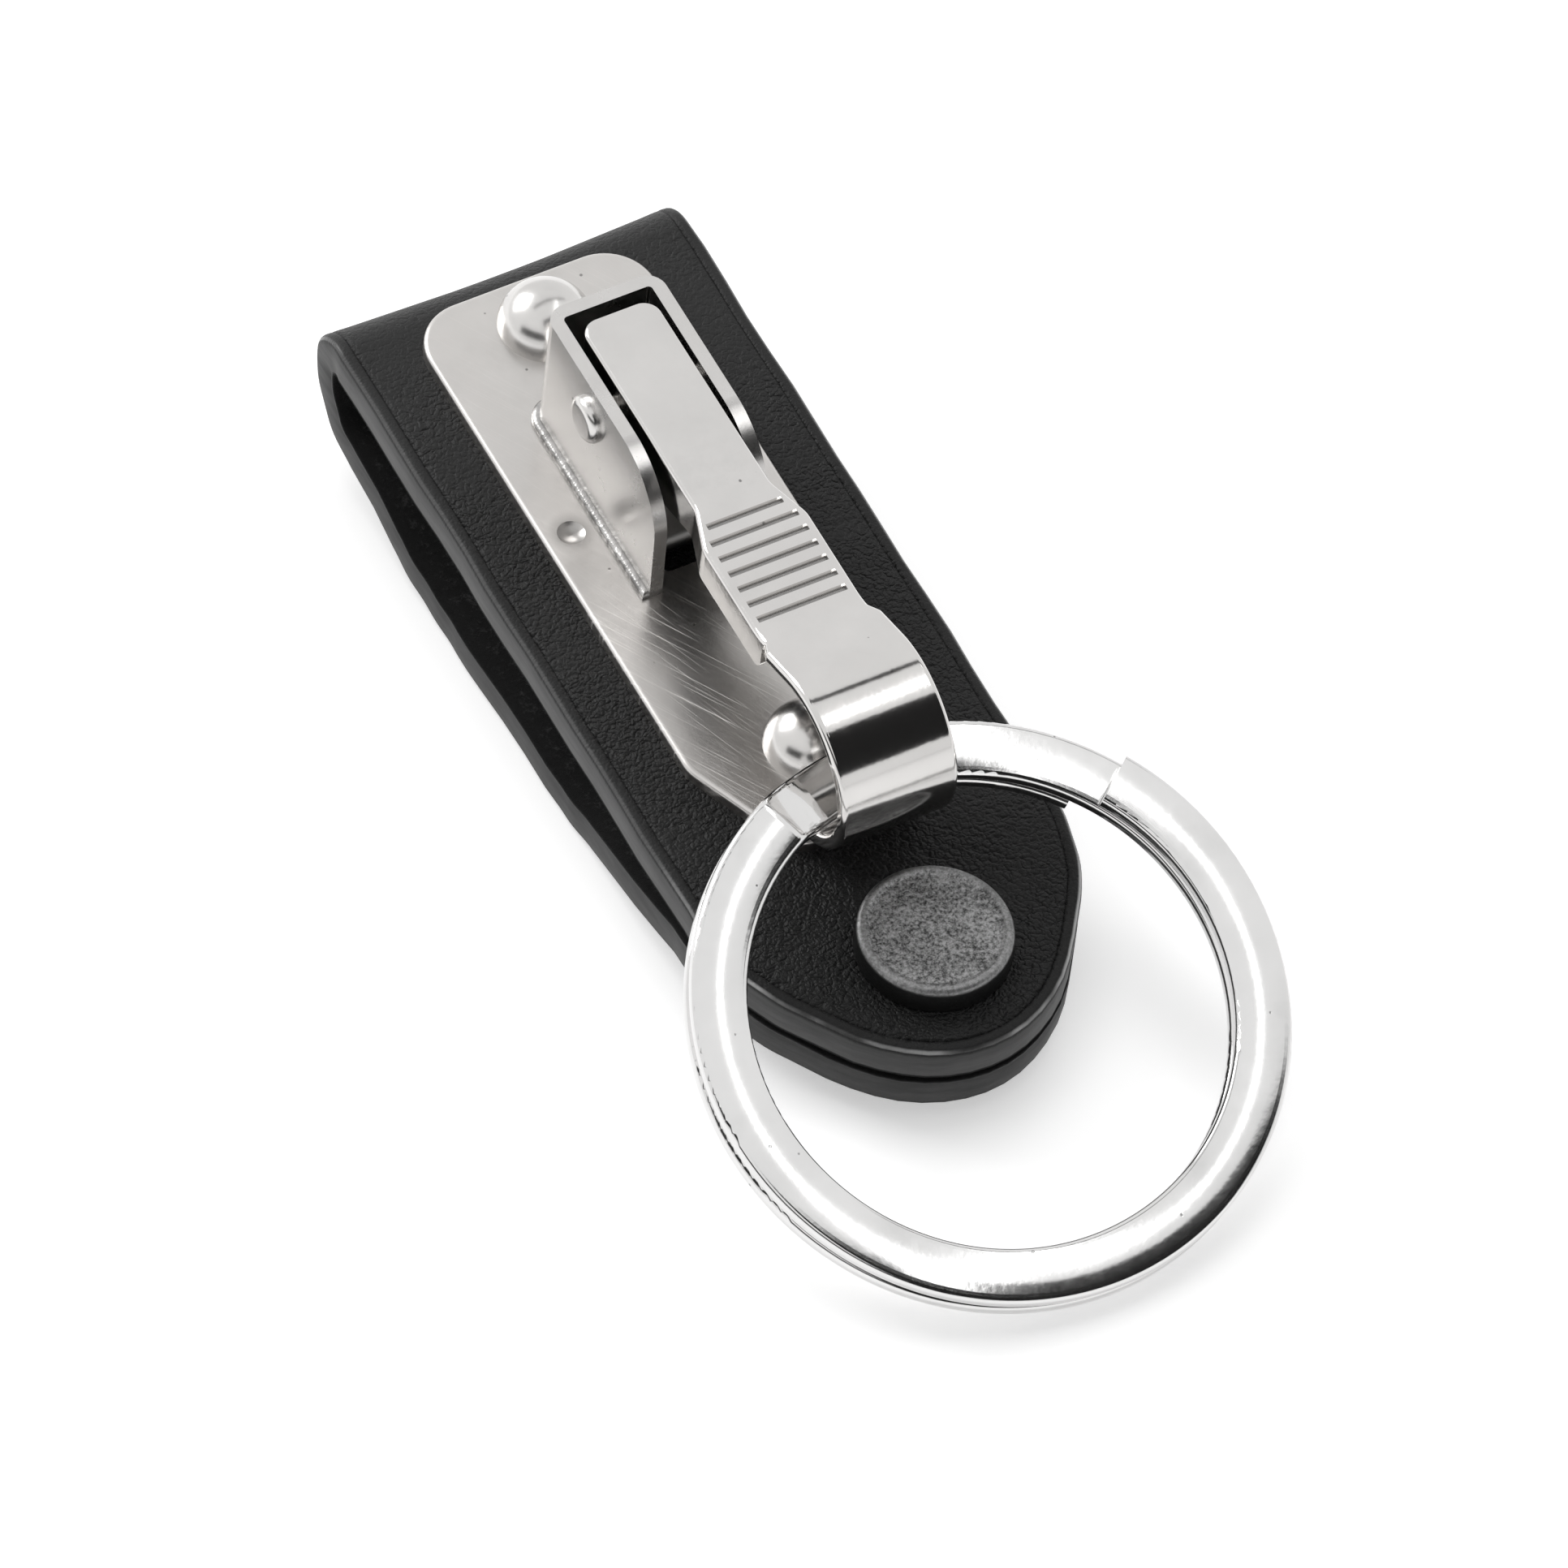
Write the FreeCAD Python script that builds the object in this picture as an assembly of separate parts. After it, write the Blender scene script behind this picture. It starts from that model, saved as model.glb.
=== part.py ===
import FreeCAD, Part
import math
import os

# Belt key clip: a folded leather strap, a sprung hook on a steel plate and a split ring.
# Sizes are millimetres in the strap's own frame: X across the strap, Y from the snap towards
# the fold, Z out of the front leather face. seat() lays the finished pieces on the table.

# Fits
FIT = 0.05
PIN_FIT = 0.03

# Leather strap
LEATHER = 2.7
STRAP_WIDTH = 25.0
FLAP_GAP = 0.3
EDGE_ROUND = 0.6
TIP_POINT_Y = -15.2
TIP_ROUND = 9.4
SHOULDER_Y = 2.9
SHOULDER_ROUND = 14.0

# Belt loop, seen from the side
REST_TILT = 4.5
BELLY_Y = 31.0
LOOP_DEPTH = 10.0
BELLY_LOW_Y = 22.5
BELLY_HIGH_Y = 43.0
BELLY_LOW_ROUND = 25.0
BELLY_HIGH_ROUND = 30.0
LOOP_MOUTH_Y = 7.5
LOOP_MOUTH_ROUND = 20.0
FOLD_TOP_Y = 59.9
FOLD_INNER_ROUND = 0.4
FOLD_LEAN = 2.84
FOLD_BASE_RISE = 1.8
FOLD_FLAT = 0.4

# Base plate
PLATE = 1.0
PLATE_WIDTH = 16.0
PLATE_TOP_Y = 55.8
PLATE_TOP_ROUND = 3.4
PLATE_TAPER_Y = 17.6
PLATE_END_Y = 9.5
PLATE_END_WIDTH = 8.8
PLATE_EDGE = 0.35
WINDOW_WIDTH = 4.4
WINDOW_LOW_Y = 31.6
WINDOW_HIGH_Y = 44.4
DIMPLE_X = -6.1
DIMPLE_Y = 36.8
DIMPLE_RADIUS = 1.5
DIMPLE_DEPTH = 0.3

# Pivot frame, a U bracket brazed on the plate
FRAME_WALL = 0.9
FRAME_INNER_WIDTH = 6.2
FRAME_RIM_Z = 11.3
FRAME_END_Y = 46.2
FRAME_EAR_Y = 30.3
FRAME_EAR_ROUND = 5.0
FRAME_CORNER = 1.3
BEAD = 0.5

# Rivets
RIVET_UPPER_Y = 52.0
RIVET_LOWER_Y = 16.2
RIVET_DIAMETER = 6.2
RIVET_DOME = 2.9
RIVET_SHANK = 2.5
RIVET_CAP_DIAMETER = 5.0
RIVET_CAP_HEIGHT = 0.9
RIVET_CAP_SINK = 0.6
RIVET_TAIL = 0.5

# Hinge pin
PIN_Y = 39.6
PIN_Z = 8.3
PIN_DIAMETER = 2.0
PIN_HEAD = 3.2
PIN_HEAD_HEIGHT = 0.6
PIN_PEEN = 2.7
PIN_PEEN_HEIGHT = 0.4

# Clip lever
SHEET = 1.0
LEVER_TOP_Z = 11.8
LEVER_END_Y = 44.2
LEVER_END_WIDTH = 5.3
LEVER_GRIP_WIDTH = 7.3
LEVER_NECK_HIGH_Y = 28.5
LEVER_NECK_LOW_Y = 25.5
LEVER_SHOULDER_Y = 18.2
FLANGE = 0.9
FLANGE_DEEP_Z = 6.5
FLANGE_GRIP_Z = 9.0
GROOVES = 8
GROOVE_FIRST_Y = 26.9
GROOVE_PITCH = 1.26
GROOVE_WIDTH = 0.5
GROOVE_DEPTH = 0.28
GROOVE_MARGIN = 0.55
HOOK_WIDTH = 8.1
HOOK_Y = 11.8
HOOK_Z = 7.5
HOOK_RADIUS = 6.2
HOOK_TIP_Y = 12.3
LEVER_EDGE = 0.35

# Leaf spring
LEAF = 0.5
LEAF_WIDTH = 3.0
LEAF_BEND = 1.1

# Split ring
RING_OUTER = 38.0
RING_WIRE = 3.6
RING_LAYER = 1.4
RING_SEAM = 0.12
RING_CROWN = 0.3
RING_EDGE = 0.42
RING_HOOK_GAP = 1.45
RING_HANG_Z = 6.1
RING_RIGHT_STEP = 52.0
RING_LEFT_STEP = 26.0
RING_STEP_RUN = 11.0
RING_TAIL_END = 46.0
RING_LIFT = 0.05

# Snap fastener
CAP_DIAMETER = 10.0
CAP_HEIGHT = 2.0
CAP_RIM = 0.6
CAP_DISH = 0.12
SHANK_RADIUS = 1.5
SHANK_FLARE = 1.9
SHANK_FLARE_HEIGHT = 0.15
SOCKET_RADIUS = 4.2
SOCKET_TOP_Z = -0.85
SOCKET_WEB = 0.3
SOCKET_MOUTH = 2.7
SOCKET_GROOVE = 3.1
SOCKET_LIP = 0.25
WIRE = 0.54
WIRE_RING = 2.52
WIRE_GAP = 50.0
STUD_FLANGE = 3.8
STUD_FLANGE_HEIGHT = 0.5
STUD_NECK = 1.95
STUD_HEAD = 2.4
STUD_HEAD_HEIGHT = 0.35
STUD_SPACE = 0.1
POST_HEAD = 4.0
POST_HEAD_HEIGHT = 1.2
POST_SHANK = 1.15
POST_TOP_Z = -2.4


def vec(x, y, z):
    return FreeCAD.Vector(x, y, z)


def side(point):
    """Put a flat (Y, Z) point in the side view."""
    return vec(0, point.x, point.y)


def plan(point):
    """Put a flat (X, Y) point in the plan."""
    return vec(point.x, point.y, 0)


def radial(point):
    """Put a flat (radius, Z) point in the plane a turned piece is drawn in."""
    return vec(point.x, 0, point.y)


def corner(before, here, after, radius):
    """Start, middle, end and centre of the round on one outline point."""
    vertex = vec(here[0], here[1], 0)
    back = vec(before[0], before[1], 0).sub(vertex).normalize()
    ahead = vec(after[0], after[1], 0).sub(vertex).normalize()
    half = back.getAngle(ahead) / 2
    inward = back.add(ahead).normalize()
    run = radius / math.tan(half)
    centre = vertex + inward * (radius / math.sin(half))
    return vertex + back * run, centre - inward * radius, vertex + ahead * run, centre


def outline(points, place):
    """Closed wire through (a, b) points; a third value rounds that point."""
    rounds = []
    for i, point in enumerate(points):
        if len(point) == 3:
            after = points[(i + 1) % len(points)]
            rounds.append(corner(points[i - 1], point, after, point[2])[:3])
        else:
            here = vec(point[0], point[1], 0)
            rounds.append((here, here, here))
    edges = []
    for i, (start, middle, end) in enumerate(rounds):
        if start.distanceToPoint(end) > 1e-6:
            edges.append(Part.Arc(place(start), place(middle), place(end)).toShape())
        following = rounds[(i + 1) % len(rounds)][0]
        if end.distanceToPoint(following) > 1e-6:
            edges.append(Part.makeLine(place(end), place(following)))
    return Part.Wire(edges)


def side_prism(points, half_width):
    """Side outline drawn out across the strap, the same way left and right."""
    face = Part.Face(outline(points, side))
    face.translate(vec(-half_width, 0, 0))
    return face.extrude(vec(2 * half_width, 0, 0))


def plan_prism(points, low, high):
    """Plan outline drawn out from one height to another."""
    face = Part.Face(outline(points, plan))
    face.translate(vec(0, 0, low))
    return face.extrude(vec(0, 0, high - low))


def turned(points, y):
    """Piece turned about an upright axis on the strap's middle line."""
    solid = Part.Face(outline(points, radial)).revolve(vec(0, 0, 0), vec(0, 0, 1), 360)
    solid.translate(vec(0, y, 0))
    return solid


def both_sides(points):
    """Whole plan outline from its right half, listed from the fold end to the tip."""
    left = []
    for point in reversed(points):
        if point[0] > 0:
            left.append((-point[0],) + tuple(point[1:]))
    return points + left


def band(path, thickness):
    """Outline of a bent sheet: the path is its outer side, the sheet lies to its right."""
    normals = []
    for here, after in zip(path, path[1:]):
        run = math.hypot(after[0] - here[0], after[1] - here[1])
        normals.append(((after[1] - here[1]) / run, (here[0] - after[0]) / run))
    first = normals[0]
    last = normals[-1]
    inner = [(path[0][0] + first[0] * thickness, path[0][1] + first[1] * thickness)]
    for point, one, two in zip(path[1:], normals, normals[1:]):
        reach = thickness / (1 + one[0] * two[0] + one[1] * two[1])
        bends_in = one[0] * two[1] - one[1] * two[0] < 0
        radius = point[2] - thickness if bends_in else point[2] + thickness
        inner.append((point[0] + (one[0] + two[0]) * reach, point[1] + (one[1] + two[1]) * reach, radius))
    inner.append((path[-1][0] + last[0] * thickness, path[-1][1] + last[1] * thickness))
    return path + inner[::-1]


def hole(radius, y, low, high):
    """Upright round cutter on the strap's middle line."""
    return Part.makeCylinder(radius, high - low, vec(0, y, low), vec(0, 0, 1))


def cross_bore(radius):
    """Round cutter along the hinge pin's line, right through ears and lever."""
    return Part.makeCylinder(radius, 2 * PLATE_WIDTH, vec(-PLATE_WIDTH, PIN_Y, PIN_Z), vec(1, 0, 0))


# Side view of the strap, outer side, from the tip of the front flap round to the back flap
stack = 2 * LEATHER + FLAP_GAP
belly_slope = math.tan(math.radians(REST_TILT))
belly_low_z = -LOOP_DEPTH + belly_slope * (BELLY_Y - BELLY_LOW_Y)
belly_high_z = -LOOP_DEPTH - belly_slope * (BELLY_HIGH_Y - BELLY_Y)
fold_round = LEATHER + FOLD_INNER_ROUND
fold_base = (FOLD_TOP_Y - FOLD_LEAN, -LOOP_DEPTH + FOLD_BASE_RISE)
fold_top = (FOLD_TOP_Y, 0)
belly_high = (BELLY_HIGH_Y, belly_high_z)
fold_start, fold_middle, fold_end, fold_centre = corner((TIP_POINT_Y, 0), fold_top, fold_base, fold_round)
wall_left = fold_end.distanceToPoint(vec(fold_base[0], fold_base[1], 0)) - FOLD_FLAT
fold_base_round = wall_left / corner(fold_top, fold_base, belly_high, 1)[0].distanceToPoint(vec(*fold_base, 0))
strap_path = [
    (TIP_POINT_Y, 0),
    (*fold_top, fold_round),
    (*fold_base, fold_base_round),
    (*belly_high, BELLY_HIGH_ROUND),
    (BELLY_LOW_Y, belly_low_z, BELLY_LOW_ROUND),
    (LOOP_MOUTH_Y, -stack, LOOP_MOUTH_ROUND),
    (TIP_POINT_Y, -stack),
]

# The ring's wire hangs just behind the front of the hook
ring_rise = RING_LAYER + RING_SEAM
ring_slope = RING_CROWN / (RING_WIRE / 2)
ring_crown_round = 0.7 * RING_WIRE / 2 / ring_slope
ring_peak = RING_LAYER / 2 + ring_crown_round * (math.hypot(1, ring_slope) - 1)
ring_shoulder = ring_peak - RING_CROWN
ring_hang_y = HOOK_Y - HOOK_RADIUS + SHEET + RING_HOOK_GAP + RING_WIRE / 2


def seat(shape):
    """Lay a piece down: the flat of the back flap on Z = 0, its middle at the origin."""
    shape.rotate(vec(0, BELLY_Y, -LOOP_DEPTH), vec(1, 0, 0), REST_TILT)
    shape.translate(vec(0, -BELLY_Y, LOOP_DEPTH))
    return shape


def seated_point(y, z):
    """Where a point of the side view comes to lie on the table."""
    return seat(Part.Vertex(0, y, z)).Point


def strap():
    """Both flaps, parted in the corner of the fold where the leather bends."""
    whole = side_prism(band(strap_path, LEATHER), STRAP_WIDTH / 2)
    half = STRAP_WIDTH / 2
    tip = both_sides([
        (half, FOLD_TOP_Y + 1),
        (half, SHOULDER_Y, SHOULDER_ROUND),
        (0, TIP_POINT_Y, TIP_ROUND),
    ])
    whole = whole.common(plan_prism(tip, -LOOP_DEPTH - 4, 1))
    outward = fold_middle.sub(fold_centre).normalize() * 12 + fold_centre
    between = -LEATHER - FLAP_GAP / 2
    front_side = side_prism([
        (TIP_POINT_Y - 1, between),
        (fold_centre.x, fold_centre.y),
        (outward.x, outward.y),
        (outward.x, 5),
        (TIP_POINT_Y - 1, 5),
    ], half + 1)
    front = whole.common(front_side)
    back = whole.cut(front_side)
    return soften(front), soften(back)


def soften(flap):
    """Round the long edges of a flap, but not the edges of the bend."""
    edges = []
    for edge in flap.Edges:
        box = edge.BoundBox
        across = box.XLength > STRAP_WIDTH - 1 and box.YLength < 0.5
        thick_way = box.ZLength > 1 and box.YLength < 0.1 and box.XLength < 0.1
        on_bend = fold_middle.y - 8 < box.ZMin and box.YMin > fold_start.x - 0.1
        if not across and not thick_way and not on_bend:
            edges.append(edge)
    return flap.makeFillet(EDGE_ROUND, edges)


def strap_front(flap):
    """Front flap with its rivet holes and the seat of the snap's socket."""
    for y in (RIVET_UPPER_Y, RIVET_LOWER_Y):
        flap = flap.cut(hole(RIVET_SHANK / 2 + FIT, y, -LEATHER - 1, 1))
        flap = flap.cut(hole(RIVET_CAP_DIAMETER / 2 + FIT, y, -LEATHER - 1, -LEATHER + RIVET_CAP_SINK))
    flap = flap.cut(hole(SHANK_RADIUS + FIT, 0, -LEATHER - 1, 1))
    return flap.cut(hole(SOCKET_RADIUS + FIT, 0, -LEATHER - 0.2, SOCKET_TOP_Z))


def strap_back(flap):
    """Back flap with the seat of the snap's stud."""
    top = -LEATHER - FLAP_GAP
    flap = flap.cut(hole(STUD_FLANGE + FIT, 0, top - STUD_FLANGE_HEIGHT, top + 0.2))
    return flap.cut(hole(POST_SHANK + FIT, 0, -stack - 1, top))


def base_plate():
    """Plate with rounded ends, rivet holes, spring window and a small dimple."""
    half = PLATE_WIDTH / 2
    plate = plan_prism(both_sides([
        (half, PLATE_TOP_Y, PLATE_TOP_ROUND),
        (half, PLATE_TAPER_Y, 3.0),
        (PLATE_END_WIDTH / 2, PLATE_END_Y, 2.0),
    ]), 0, PLATE)
    rim = [edge for edge in plate.Edges if edge.BoundBox.ZMin > PLATE - 0.01]
    plate = plate.makeFillet(PLATE_EDGE, rim)
    for y in (RIVET_UPPER_Y, RIVET_LOWER_Y):
        plate = plate.cut(hole(RIVET_SHANK / 2 + FIT, y, -1, PLATE + 1))
    window = plan_prism(both_sides([
        (WINDOW_WIDTH / 2, WINDOW_HIGH_Y, 0.5),
        (WINDOW_WIDTH / 2, WINDOW_LOW_Y, 0.5),
    ]), -1, PLATE + 1)
    dimple = Part.makeSphere(DIMPLE_RADIUS, vec(DIMPLE_X, DIMPLE_Y, PLATE + DIMPLE_RADIUS - DIMPLE_DEPTH))
    return plate.cut(window).cut(dimple)


def frame_plan(spread):
    """Plan of the U bracket; spread widens its outside for the bead at the foot."""
    inner = FRAME_INNER_WIDTH / 2
    outer = inner + FRAME_WALL + spread
    return both_sides([
        (outer, FRAME_END_Y + spread, FRAME_CORNER + spread),
        (outer, FRAME_EAR_Y - 1),
        (inner, FRAME_EAR_Y - 1),
        (inner, FRAME_END_Y - FRAME_WALL, 0.3),
    ])


def pivot_frame():
    """Two ears and an end wall, with the hinge pin's holes."""
    walls = plan_prism(frame_plan(0), PLATE, FRAME_RIM_Z)
    walls = walls.fuse(plan_prism(frame_plan(BEAD), PLATE, PLATE + BEAD))
    profile = side_prism([
        (FRAME_END_Y + 1, PLATE),
        (FRAME_END_Y + 1, FRAME_RIM_Z),
        (FRAME_EAR_Y + 0.4, FRAME_RIM_Z, FRAME_EAR_ROUND),
        (FRAME_EAR_Y, PLATE),
    ], FRAME_INNER_WIDTH)
    frame = walls.common(profile).removeSplitter()
    foot = []
    for edge in frame.Edges:
        box = edge.BoundBox
        level = abs(box.ZMin - PLATE - BEAD) < 0.01 and box.ZLength < 0.01
        outside = max(abs(box.XMin), abs(box.XMax)) > FRAME_INNER_WIDTH / 2 + FRAME_WALL + BEAD - 0.01
        if level and (outside or box.YMin > FRAME_END_Y + BEAD - 0.01):
            foot.append(edge)
    frame = frame.makeFillet(BEAD * 0.85, foot)
    return frame.cut(cross_bore(PIN_DIAMETER / 2 + PIN_FIT))


def rivet(y):
    """Domed rivet through plate and leather."""
    radius = RIVET_DIAMETER / 2
    shank = RIVET_SHANK / 2
    sphere = (radius ** 2 + RIVET_DOME ** 2) / (2 * RIVET_DOME)
    ball = Part.makeSphere(sphere, vec(0, y, PLATE + RIVET_DOME - sphere))
    dome = ball.common(hole(radius, y, PLATE, PLATE + 5))
    low = -LEATHER + RIVET_CAP_SINK - RIVET_TAIL
    return dome.fuse(hole(shank, y, low, PLATE)).removeSplitter()


def rivet_cap(y):
    """Cap pressed on the rivet's tail, sunk into the inside of the front flap."""
    radius = RIVET_CAP_DIAMETER / 2
    top = -LEATHER + RIVET_CAP_SINK
    low = top - RIVET_CAP_HEIGHT
    bore = RIVET_SHANK / 2 + FIT
    return turned([
        (0, low),
        (radius, low, 0.4),
        (radius, top),
        (bore, top),
        (bore, top - RIVET_TAIL - FIT),
        (0, top - RIVET_TAIL - FIT),
    ], y)


def hinge_pin():
    """Pin with a domed head on the left ear and a peened end on the right."""
    shank = PIN_DIAMETER / 2
    head = PIN_HEAD / 2
    peen = PIN_PEEN / 2
    half = FRAME_INNER_WIDTH / 2 + FRAME_WALL
    pin = Part.Face(outline([
        (0, -half - PIN_HEAD_HEIGHT),
        (head, -half - PIN_HEAD_HEIGHT, PIN_HEAD_HEIGHT * 0.9),
        (head, -half),
        (shank, -half),
        (shank, half),
        (peen, half),
        (peen, half + PIN_PEEN_HEIGHT, PIN_PEEN_HEIGHT * 0.9),
        (0, half + PIN_PEEN_HEIGHT),
    ], radial)).revolve(vec(0, 0, 0), vec(0, 0, 1), 360)
    pin.rotate(vec(0, 0, 0), vec(0, 1, 0), 90)
    pin.translate(vec(0, PIN_Y, PIN_Z))
    return pin


def clip_lever():
    """Pressed lever: a flanged grip over the pin that runs out into the round hook."""
    front = HOOK_Y - HOOK_RADIUS
    reach_y = LEVER_SHOULDER_Y - HOOK_Y
    reach_z = LEVER_TOP_Z - HOOK_Z
    touch = math.acos(HOOK_RADIUS / math.hypot(reach_y, reach_z)) + math.atan2(reach_z, reach_y)
    crown_z = LEVER_TOP_Z + (LEVER_SHOULDER_Y - front) / math.tan(touch)
    path = [
        (HOOK_TIP_Y, HOOK_Z - HOOK_RADIUS),
        (front, HOOK_Z - HOOK_RADIUS, HOOK_RADIUS),
        (front, crown_z, HOOK_RADIUS),
        (LEVER_SHOULDER_Y, LEVER_TOP_Z, 4.0),
        (LEVER_END_Y + 1, LEVER_TOP_Z),
    ]
    sheet = side_prism(band(path, SHEET), HOOK_WIDTH / 2)
    end = LEVER_END_WIDTH / 2
    grip = LEVER_GRIP_WIDTH / 2
    hook = HOOK_WIDTH / 2
    above = LEVER_TOP_Z + HOOK_RADIUS
    sheet = sheet.common(plan_prism(lever_plan(0, hook), 0, above)).removeSplitter()
    rim = []
    for edge in sheet.Edges:
        box = edge.BoundBox
        middle = edge.valueAt((edge.FirstParameter + edge.LastParameter) / 2)
        around = math.hypot(middle.y - HOOK_Y, middle.z - HOOK_Z)
        on_hook = abs(around - HOOK_RADIUS) < 0.02
        on_top = middle.y > HOOK_Y + 1.7 and middle.z > LEVER_TOP_Z - 0.01
        across = box.XLength > 4 and middle.y < LEVER_END_Y - 1
        if (on_hook or on_top) and not across:
            rim.append(edge)
    sheet = sheet.makeFillet(LEVER_EDGE, rim)
    skirt = plan_prism(lever_plan(0, grip), PLATE, LEVER_TOP_Z - SHEET / 2)
    skirt = skirt.cut(plan_prism(lever_plan(FLANGE, grip - FLANGE), 0, above))
    skirt = skirt.common(side_prism([
        (LEVER_END_Y + 1, LEVER_TOP_Z),
        (LEVER_END_Y + 1, FLANGE_GRIP_Z + 0.3),
        (LEVER_END_Y - 1.5, FLANGE_GRIP_Z + 0.3, 1.5),
        (PIN_Y + 2.4, FLANGE_DEEP_Z, 1.5),
        (PIN_Y - 2.8, FLANGE_DEEP_Z, 2.0),
        (LEVER_NECK_HIGH_Y, FLANGE_GRIP_Z, 5.0),
        (LEVER_SHOULDER_Y - 0.6, FLANGE_GRIP_Z, 0.8),
        (LEVER_SHOULDER_Y - 0.6, LEVER_TOP_Z),
    ], 10))
    lever = sheet.fuse(skirt).removeSplitter()
    for i in range(GROOVES):
        y = GROOVE_FIRST_Y - i * GROOVE_PITCH
        half = grip - GROOVE_MARGIN
        if y > LEVER_NECK_LOW_Y:
            half -= (y - LEVER_NECK_LOW_Y) * (grip - end) / (LEVER_NECK_HIGH_Y - LEVER_NECK_LOW_Y)
        lever = lever.cut(side_prism([
            (y - GROOVE_WIDTH / 2, LEVER_TOP_Z + 0.01),
            (y - GROOVE_WIDTH / 4, LEVER_TOP_Z - GROOVE_DEPTH),
            (y + GROOVE_WIDTH / 4, LEVER_TOP_Z - GROOVE_DEPTH),
            (y + GROOVE_WIDTH / 2, LEVER_TOP_Z + 0.01),
        ], half))
    return lever.cut(cross_bore(PIN_DIAMETER / 2 + FIT))


def lever_plan(inset, hook):
    """Plan of the lever; inset draws it in by a flange."""
    end = LEVER_END_WIDTH / 2 - inset
    grip = LEVER_GRIP_WIDTH / 2 - inset
    outer = [
        (end, LEVER_END_Y - inset, 1.2 - inset),
        (end, LEVER_NECK_HIGH_Y, 2.0),
        (grip, LEVER_NECK_LOW_Y, 2.0),
    ]
    if hook > grip:
        outer += [(grip, LEVER_SHOULDER_Y - 0.8, 0.5), (hook, LEVER_SHOULDER_Y - 1.7, 0.5)]
    return both_sides(outer + [(hook, HOOK_Y - HOOK_RADIUS - 1)])


def leaf_spring():
    """Hairpin of flat spring: it rests in the plate's window and lifts the lever's short end."""
    strip = band([
        (WINDOW_HIGH_Y - 0.6, FIT),
        (WINDOW_LOW_Y - LEAF_BEND, FIT, LEAF_BEND),
        (PIN_Y + 0.4, PIN_Z - 2.0, 4.0),
        (LEVER_END_Y - 1.6, LEVER_TOP_Z - SHEET - 0.15),
    ], LEAF)
    return side_prism(strip, LEAF_WIDTH / 2)


def ring_section(angle, height):
    """Section of the ring's crowned wire at an angle clockwise from the hook."""
    outer = RING_OUTER / 2
    middle = outer - RING_WIRE / 2
    inner = outer - RING_WIRE
    wire = outline([
        (inner, height - ring_shoulder, RING_EDGE),
        (middle, height - ring_peak, ring_crown_round),
        (outer, height - ring_shoulder, RING_EDGE),
        (outer, height + ring_shoulder, RING_EDGE),
        (middle, height + ring_peak, ring_crown_round),
        (inner, height + ring_shoulder, RING_EDGE),
    ], radial)
    wire.rotate(vec(0, 0, 0), vec(0, 0, 1), 90 - angle)
    return wire


def ring_turn(start, height, turn):
    """Part of a turn, clockwise from an angle."""
    return Part.Face(ring_section(start, height)).revolve(vec(0, 0, 0), vec(0, 0, 1), -turn)


def ring_step(start, height):
    """Short slope that takes the wire down beside the hook."""
    sections = []
    for i in range(7):
        share = i / 6
        smooth = share * share * (3 - 2 * share)
        sections.append(ring_section(start + share * RING_STEP_RUN, height - ring_rise * smooth))
    return Part.makeLoft(sections, True, False)


def split_ring():
    """Crowned wire wound a little over twice: each turn steps down just left of the hook."""
    step_high = -RING_LEFT_STEP
    step_low = step_high + RING_STEP_RUN
    highest = 1.5 * ring_rise
    middle = 0.5 * ring_rise
    upper_turn = ring_turn(RING_RIGHT_STEP, highest, 360 - RING_RIGHT_STEP - RING_LEFT_STEP)
    lower_turn = ring_turn(step_low, middle, 360 - RING_STEP_RUN)
    tail = ring_turn(step_low, -middle, RING_TAIL_END - step_low)
    ring = upper_turn.fuse(ring_step(step_high, highest)).fuse(lower_turn)
    ring = ring.fuse(ring_step(step_high, middle)).fuse(tail)
    ring.translate(vec(0, RING_WIRE / 2 - RING_OUTER / 2, 0))
    return ring


def hang(ring):
    """Hang the ring in the hook so that its far side lies on the table."""
    hook = seated_point(ring_hang_y, RING_HANG_Z)
    reach = RING_OUTER - RING_WIRE / 2 - RING_EDGE
    under = ring_shoulder - RING_EDGE * (math.hypot(1, ring_slope) - ring_slope) - ring_rise / 2
    drop = hook.z - RING_EDGE - RING_LIFT
    droop = math.asin(drop / math.hypot(reach, under)) - math.atan2(under, reach)
    ring.rotate(vec(0, 0, 0), vec(1, 0, 0), math.degrees(droop))
    ring.translate(hook)
    print("ring droop", round(math.degrees(droop), 2))
    return ring


def snap_cap():
    """Outer cap with a raised rim, and the shank flared inside the socket."""
    radius = CAP_DIAMETER / 2
    web = SOCKET_TOP_Z - SOCKET_WEB
    return turned([
        (0, CAP_HEIGHT - CAP_DISH),
        (radius - CAP_RIM - 0.3, CAP_HEIGHT - CAP_DISH),
        (radius - CAP_RIM, CAP_HEIGHT, 0.2),
        (radius - 0.1, CAP_HEIGHT, 0.42),
        (radius, 0.1, 0.08),
        (radius - 0.2, 0),
        (SHANK_RADIUS, 0),
        (SHANK_RADIUS, web),
        (SHANK_FLARE, web),
        (SHANK_FLARE, web - SHANK_FLARE_HEIGHT),
        (0, web - SHANK_FLARE_HEIGHT),
    ], 0)


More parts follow.
